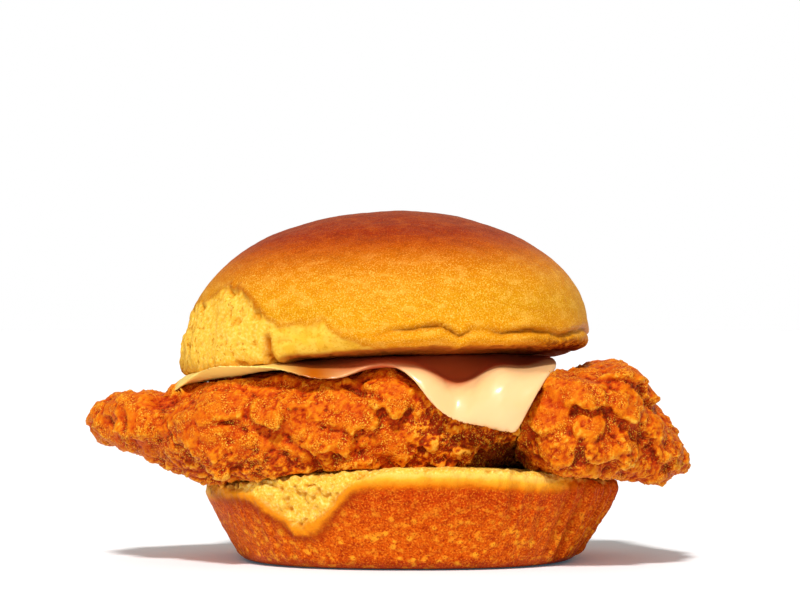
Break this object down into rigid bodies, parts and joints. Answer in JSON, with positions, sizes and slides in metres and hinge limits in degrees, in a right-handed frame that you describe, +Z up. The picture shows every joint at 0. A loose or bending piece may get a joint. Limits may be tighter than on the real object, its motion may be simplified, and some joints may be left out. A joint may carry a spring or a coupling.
{
  "type": "fried chicken burger",
  "caption": "Small chicken burger on a pull-apart roll: domed crown, melted cheese slice, craggy breaded strips that overhang both sides, flared heel with a flat base.",
  "frame": {"origin": "centre of the heel's flat base, on the surface it stands on", "axes": "+Z up through the crown, +X along the chicken strips to the viewer's right, -Y towards the viewer"},
  "size_m": [0.1036, 0.0679, 0.0598],
  "materials": {
    "heel_crust": "mottled orange-brown baked wall with pale crumb at the cut and the tear",
    "crown_crust": "soft-gloss crust, brown on top and golden at the sides, with torn crumb on the left",
    "breading": "craggy deep-fried breading with a little oil sheen",
    "cheese": "melted, smooth and glossy"
  },
  "bodies": {
    "root": {"bun_heel": "heel_crust", "bun_crown": "crown_crust", "chicken_strip_left": "breading", "chicken_strip_right": "breading", "cheese_slice": "cheese"}
  },
  "joints": []
}
